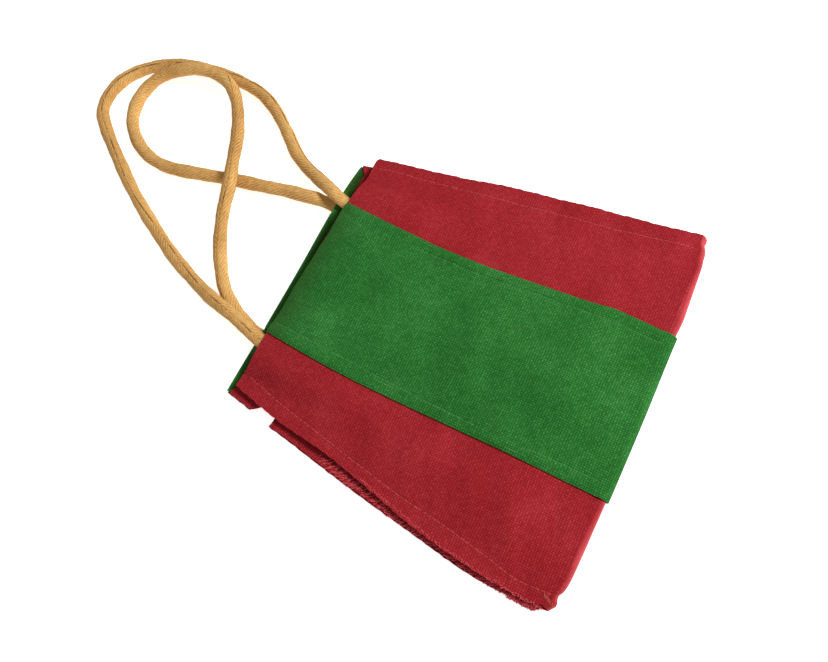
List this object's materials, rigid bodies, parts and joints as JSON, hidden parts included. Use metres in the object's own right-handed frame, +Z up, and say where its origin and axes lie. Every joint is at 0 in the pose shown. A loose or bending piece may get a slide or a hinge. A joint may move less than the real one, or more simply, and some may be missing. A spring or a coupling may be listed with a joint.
{
  "type": "jute tote bag",
  "caption": "Empty jute tote bag lying flat on its back: wide red body, green centre band, folded side gussets and two padded rope handles in loose loops.",
  "frame": {"origin": "on the surface the bag lies on, under the middle of its body without the handles", "axes": "+Z up from the surface, +Y along the bag towards its mouth and handles, +X across it"},
  "size_m": [0.3408, 0.6167, 0.0277],
  "materials": {
    "red_jute": "coarse plain weave, matte",
    "green_jute": "coarse plain weave, matte",
    "rope_tape": "tan cotton twill tape, matte"
  },
  "bodies": {
    "root": {"body_cloth": "red_jute", "centre_band": "green_jute", "gusset_lower": "red_jute", "gusset_upper": "red_jute", "facing_back": "green_jute", "facing_front": "green_jute", "handle_front": "rope_tape", "handle_back": "rope_tape"}
  },
  "joints": []
}
